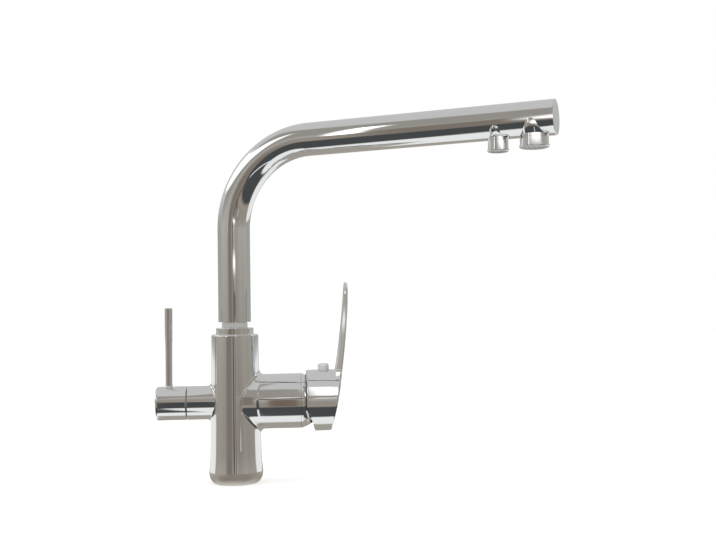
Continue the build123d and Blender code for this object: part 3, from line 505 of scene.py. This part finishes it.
def build_world():
    """White to the camera, an even light to dull surfaces, and the studio to the metal."""
    world = bpy.data.worlds.new("studio")
    scene.world = world
    world.use_nodes = True
    tree = world.node_tree
    tree.nodes.clear()
    mirrored = node(tree, "ShaderNodeBackground")
    tree.links.new(build_room(tree), mirrored.inputs["Color"])
    soft = node(tree, "ShaderNodeBackground")
    soft.inputs["Color"].default_value = (*WHITE, 1)
    soft.inputs["Strength"].default_value = SOFT_LIGHT
    white = node(tree, "ShaderNodeBackground")
    white.inputs["Color"].default_value = (*WHITE, 1)
    rays = node(tree, "ShaderNodeLightPath")
    to_object = mixed(
        tree,
        rays.outputs["Is Glossy Ray"],
        soft.outputs["Background"],
        mirrored.outputs["Background"],
    )
    seen = mixed(tree, rays.outputs["Is Camera Ray"], to_object, white.outputs["Background"])
    output = node(tree, "ShaderNodeOutputWorld")
    tree.links.new(seen, output.inputs["Surface"])


def faded(tree, along, fade):
    """1 over the middle of a card, falling to 0 at both of its edges."""
    return band(tree, along, (fade - CARD_HALF, CARD_HALF - fade), fade)


def card(name, place, width, height, colour, side_fade, end_fade, strength=1.0, turn=0, flat=False):
    """A card with soft edges, dark or bright, which only the metal shows."""
    made = bpy.data.materials.new(name)
    made.use_nodes = True
    tree = made.node_tree
    tree.nodes.clear()
    place_on = node(tree, "ShaderNodeTexCoord")
    axes = node(tree, "ShaderNodeSeparateXYZ")
    tree.links.new(place_on.outputs["Object"], axes.inputs["Vector"])
    sides = faded(tree, axes.outputs["X"], side_fade)
    ends = faded(tree, axes.outputs["Y"], end_fade)
    rays = node(tree, "ShaderNodeLightPath")
    seen = maths(tree, "MULTIPLY", maths(tree, "MULTIPLY", sides, ends), rays.outputs["Is Glossy Ray"])
    shade = node(tree, "ShaderNodeEmission")
    shade.inputs["Color"].default_value = (*colour, 1)
    shade.inputs["Strength"].default_value = strength
    clear = node(tree, "ShaderNodeBsdfTransparent")
    shown = mixed(tree, seen, clear.outputs["BSDF"], shade.outputs["Emission"])
    output = node(tree, "ShaderNodeOutputMaterial")
    tree.links.new(shown, output.inputs["Surface"])
    tilt = 0 if flat else math.radians(90)
    bpy.ops.mesh.primitive_plane_add(size=1.0, location=place, rotation=(tilt, 0, math.radians(turn)))
    board = bpy.context.active_object
    board.name = name
    board.scale = (width, height, 1)
    board.data.materials.append(made)


def build_cards():
    """Dark cards in front, bright cards for the lamps, and the shade on the table behind the branch."""
    card(
        "dark_card",
        place=(0.037, -0.82, -0.025),
        width=0.060,
        height=0.43,
        colour=CARD_BROWN,
        side_fade=0.10,
        end_fade=0.04,
    )
    card(
        "near_shade",
        place=(0.030, -0.40, 0.142),
        width=0.10,
        height=0.036,
        colour=CARD_BROWN,
        side_fade=0.10,
        end_fade=0.08,
    )
    card(
        "left_shade",
        place=(-0.33, -0.68, 0.145),
        turn=-37.3,
        width=0.52,
        height=0.56,
        colour=CARD_LEFT,
        side_fade=0.16,
        end_fade=0.10,
    )
    card(
        "flash",
        place=(0.037, -0.79, 0.214),
        width=0.40,
        height=0.050,
        colour=WHITE,
        strength=1.9,
        side_fade=0.30,
        end_fade=0.25,
    )
    card(
        "flash_above",
        place=(0.037, -0.79, 0.284),
        width=0.10,
        height=0.046,
        colour=WHITE,
        strength=1.5,
        side_fade=0.25,
        end_fade=0.20,
    )
    card(
        "left_lamp",
        place=(-0.419, -0.504, 0.49),
        turn=-47.8,
        width=0.078,
        height=0.50,
        colour=WHITE,
        strength=2.6,
        side_fade=0.22,
        end_fade=0.06,
    )
    card(
        "right_lamp",
        place=(0.122, -0.95, 0.89),
        width=0.115,
        height=1.05,
        colour=LAMP_WHITE,
        strength=1.6,
        side_fade=0.20,
        end_fade=0.05,
    )
    card(
        "outlet_lamp",
        place=(0.212, -0.150, 0.256),
        turn=-8,
        width=0.115,
        height=0.026,
        colour=WHITE,
        strength=2.2,
        side_fade=0.25,
        end_fade=0.30,
    )
    card(
        "table_shade",
        place=(0.008, 0.093, 0.0006),
        width=0.165,
        height=0.214,
        colour=TABLE_BEHIND,
        side_fade=0.04,
        end_fade=0.02,
        flat=True,
    )


def build_floor():
    """A pale floor that keeps the shadow; metal looks past it to the studio."""
    bpy.ops.mesh.primitive_circle_add(
        vertices=FLOOR_SIDES,
        radius=FLOOR_RADIUS,
        fill_type="NGON",
        location=(0, 0, 0),
    )
    floor = bpy.context.active_object
    floor.name = "floor"
    made = bpy.data.materials.new("pale_floor")
    made.use_nodes = True
    tree = made.node_tree
    tree.nodes.clear()
    paper = node(tree, "ShaderNodeBsdfDiffuse")
    paper.inputs["Color"].default_value = (*FLOOR_GREY, 1)
    lift = node(tree, "ShaderNodeEmission")
    lift.inputs["Strength"].default_value = FLOOR_LIFT
    lit = node(tree, "ShaderNodeAddShader")
    tree.links.new(paper.outputs["BSDF"], lit.inputs[0])
    tree.links.new(lift.outputs["Emission"], lit.inputs[1])
    clear = node(tree, "ShaderNodeBsdfTransparent")
    rays = node(tree, "ShaderNodeLightPath")
    seen = mixed(tree, rays.outputs["Is Camera Ray"], paper.outputs["BSDF"], lit.outputs["Shader"])
    past = maths(tree, "MAXIMUM", rays.outputs["Is Glossy Ray"], rays.outputs["Is Transmission Ray"])
    shown = mixed(tree, past, seen, clear.outputs["BSDF"])
    output = node(tree, "ShaderNodeOutputMaterial")
    tree.links.new(shown, output.inputs["Surface"])
    floor.data.materials.append(made)


def build_lamp():
    """A wide soft lamp over the tap, which the metal doesn't show."""
    data = bpy.data.lights.new("top_lamp", "AREA")
    data.shape = "RECTANGLE"
    data.size = TOP_LAMP_SIZE
    data.size_y = TOP_LAMP_SIZE
    data.energy = TOP_LAMP_POWER
    lamp = bpy.data.objects.new("top_lamp", data)
    scene.collection.objects.link(lamp)
    facing = (TOP_LAMP_TARGET - TOP_LAMP_PLACE).to_track_quat("-Z", "Y")
    lamp.matrix_world = Matrix.Translation(TOP_LAMP_PLACE) @ facing.to_matrix().to_4x4()
    lamp.visible_glossy = False


place_camera()
build_world()
build_floor()
build_cards()
build_lamp()

scene.view_settings.view_transform = "Standard"
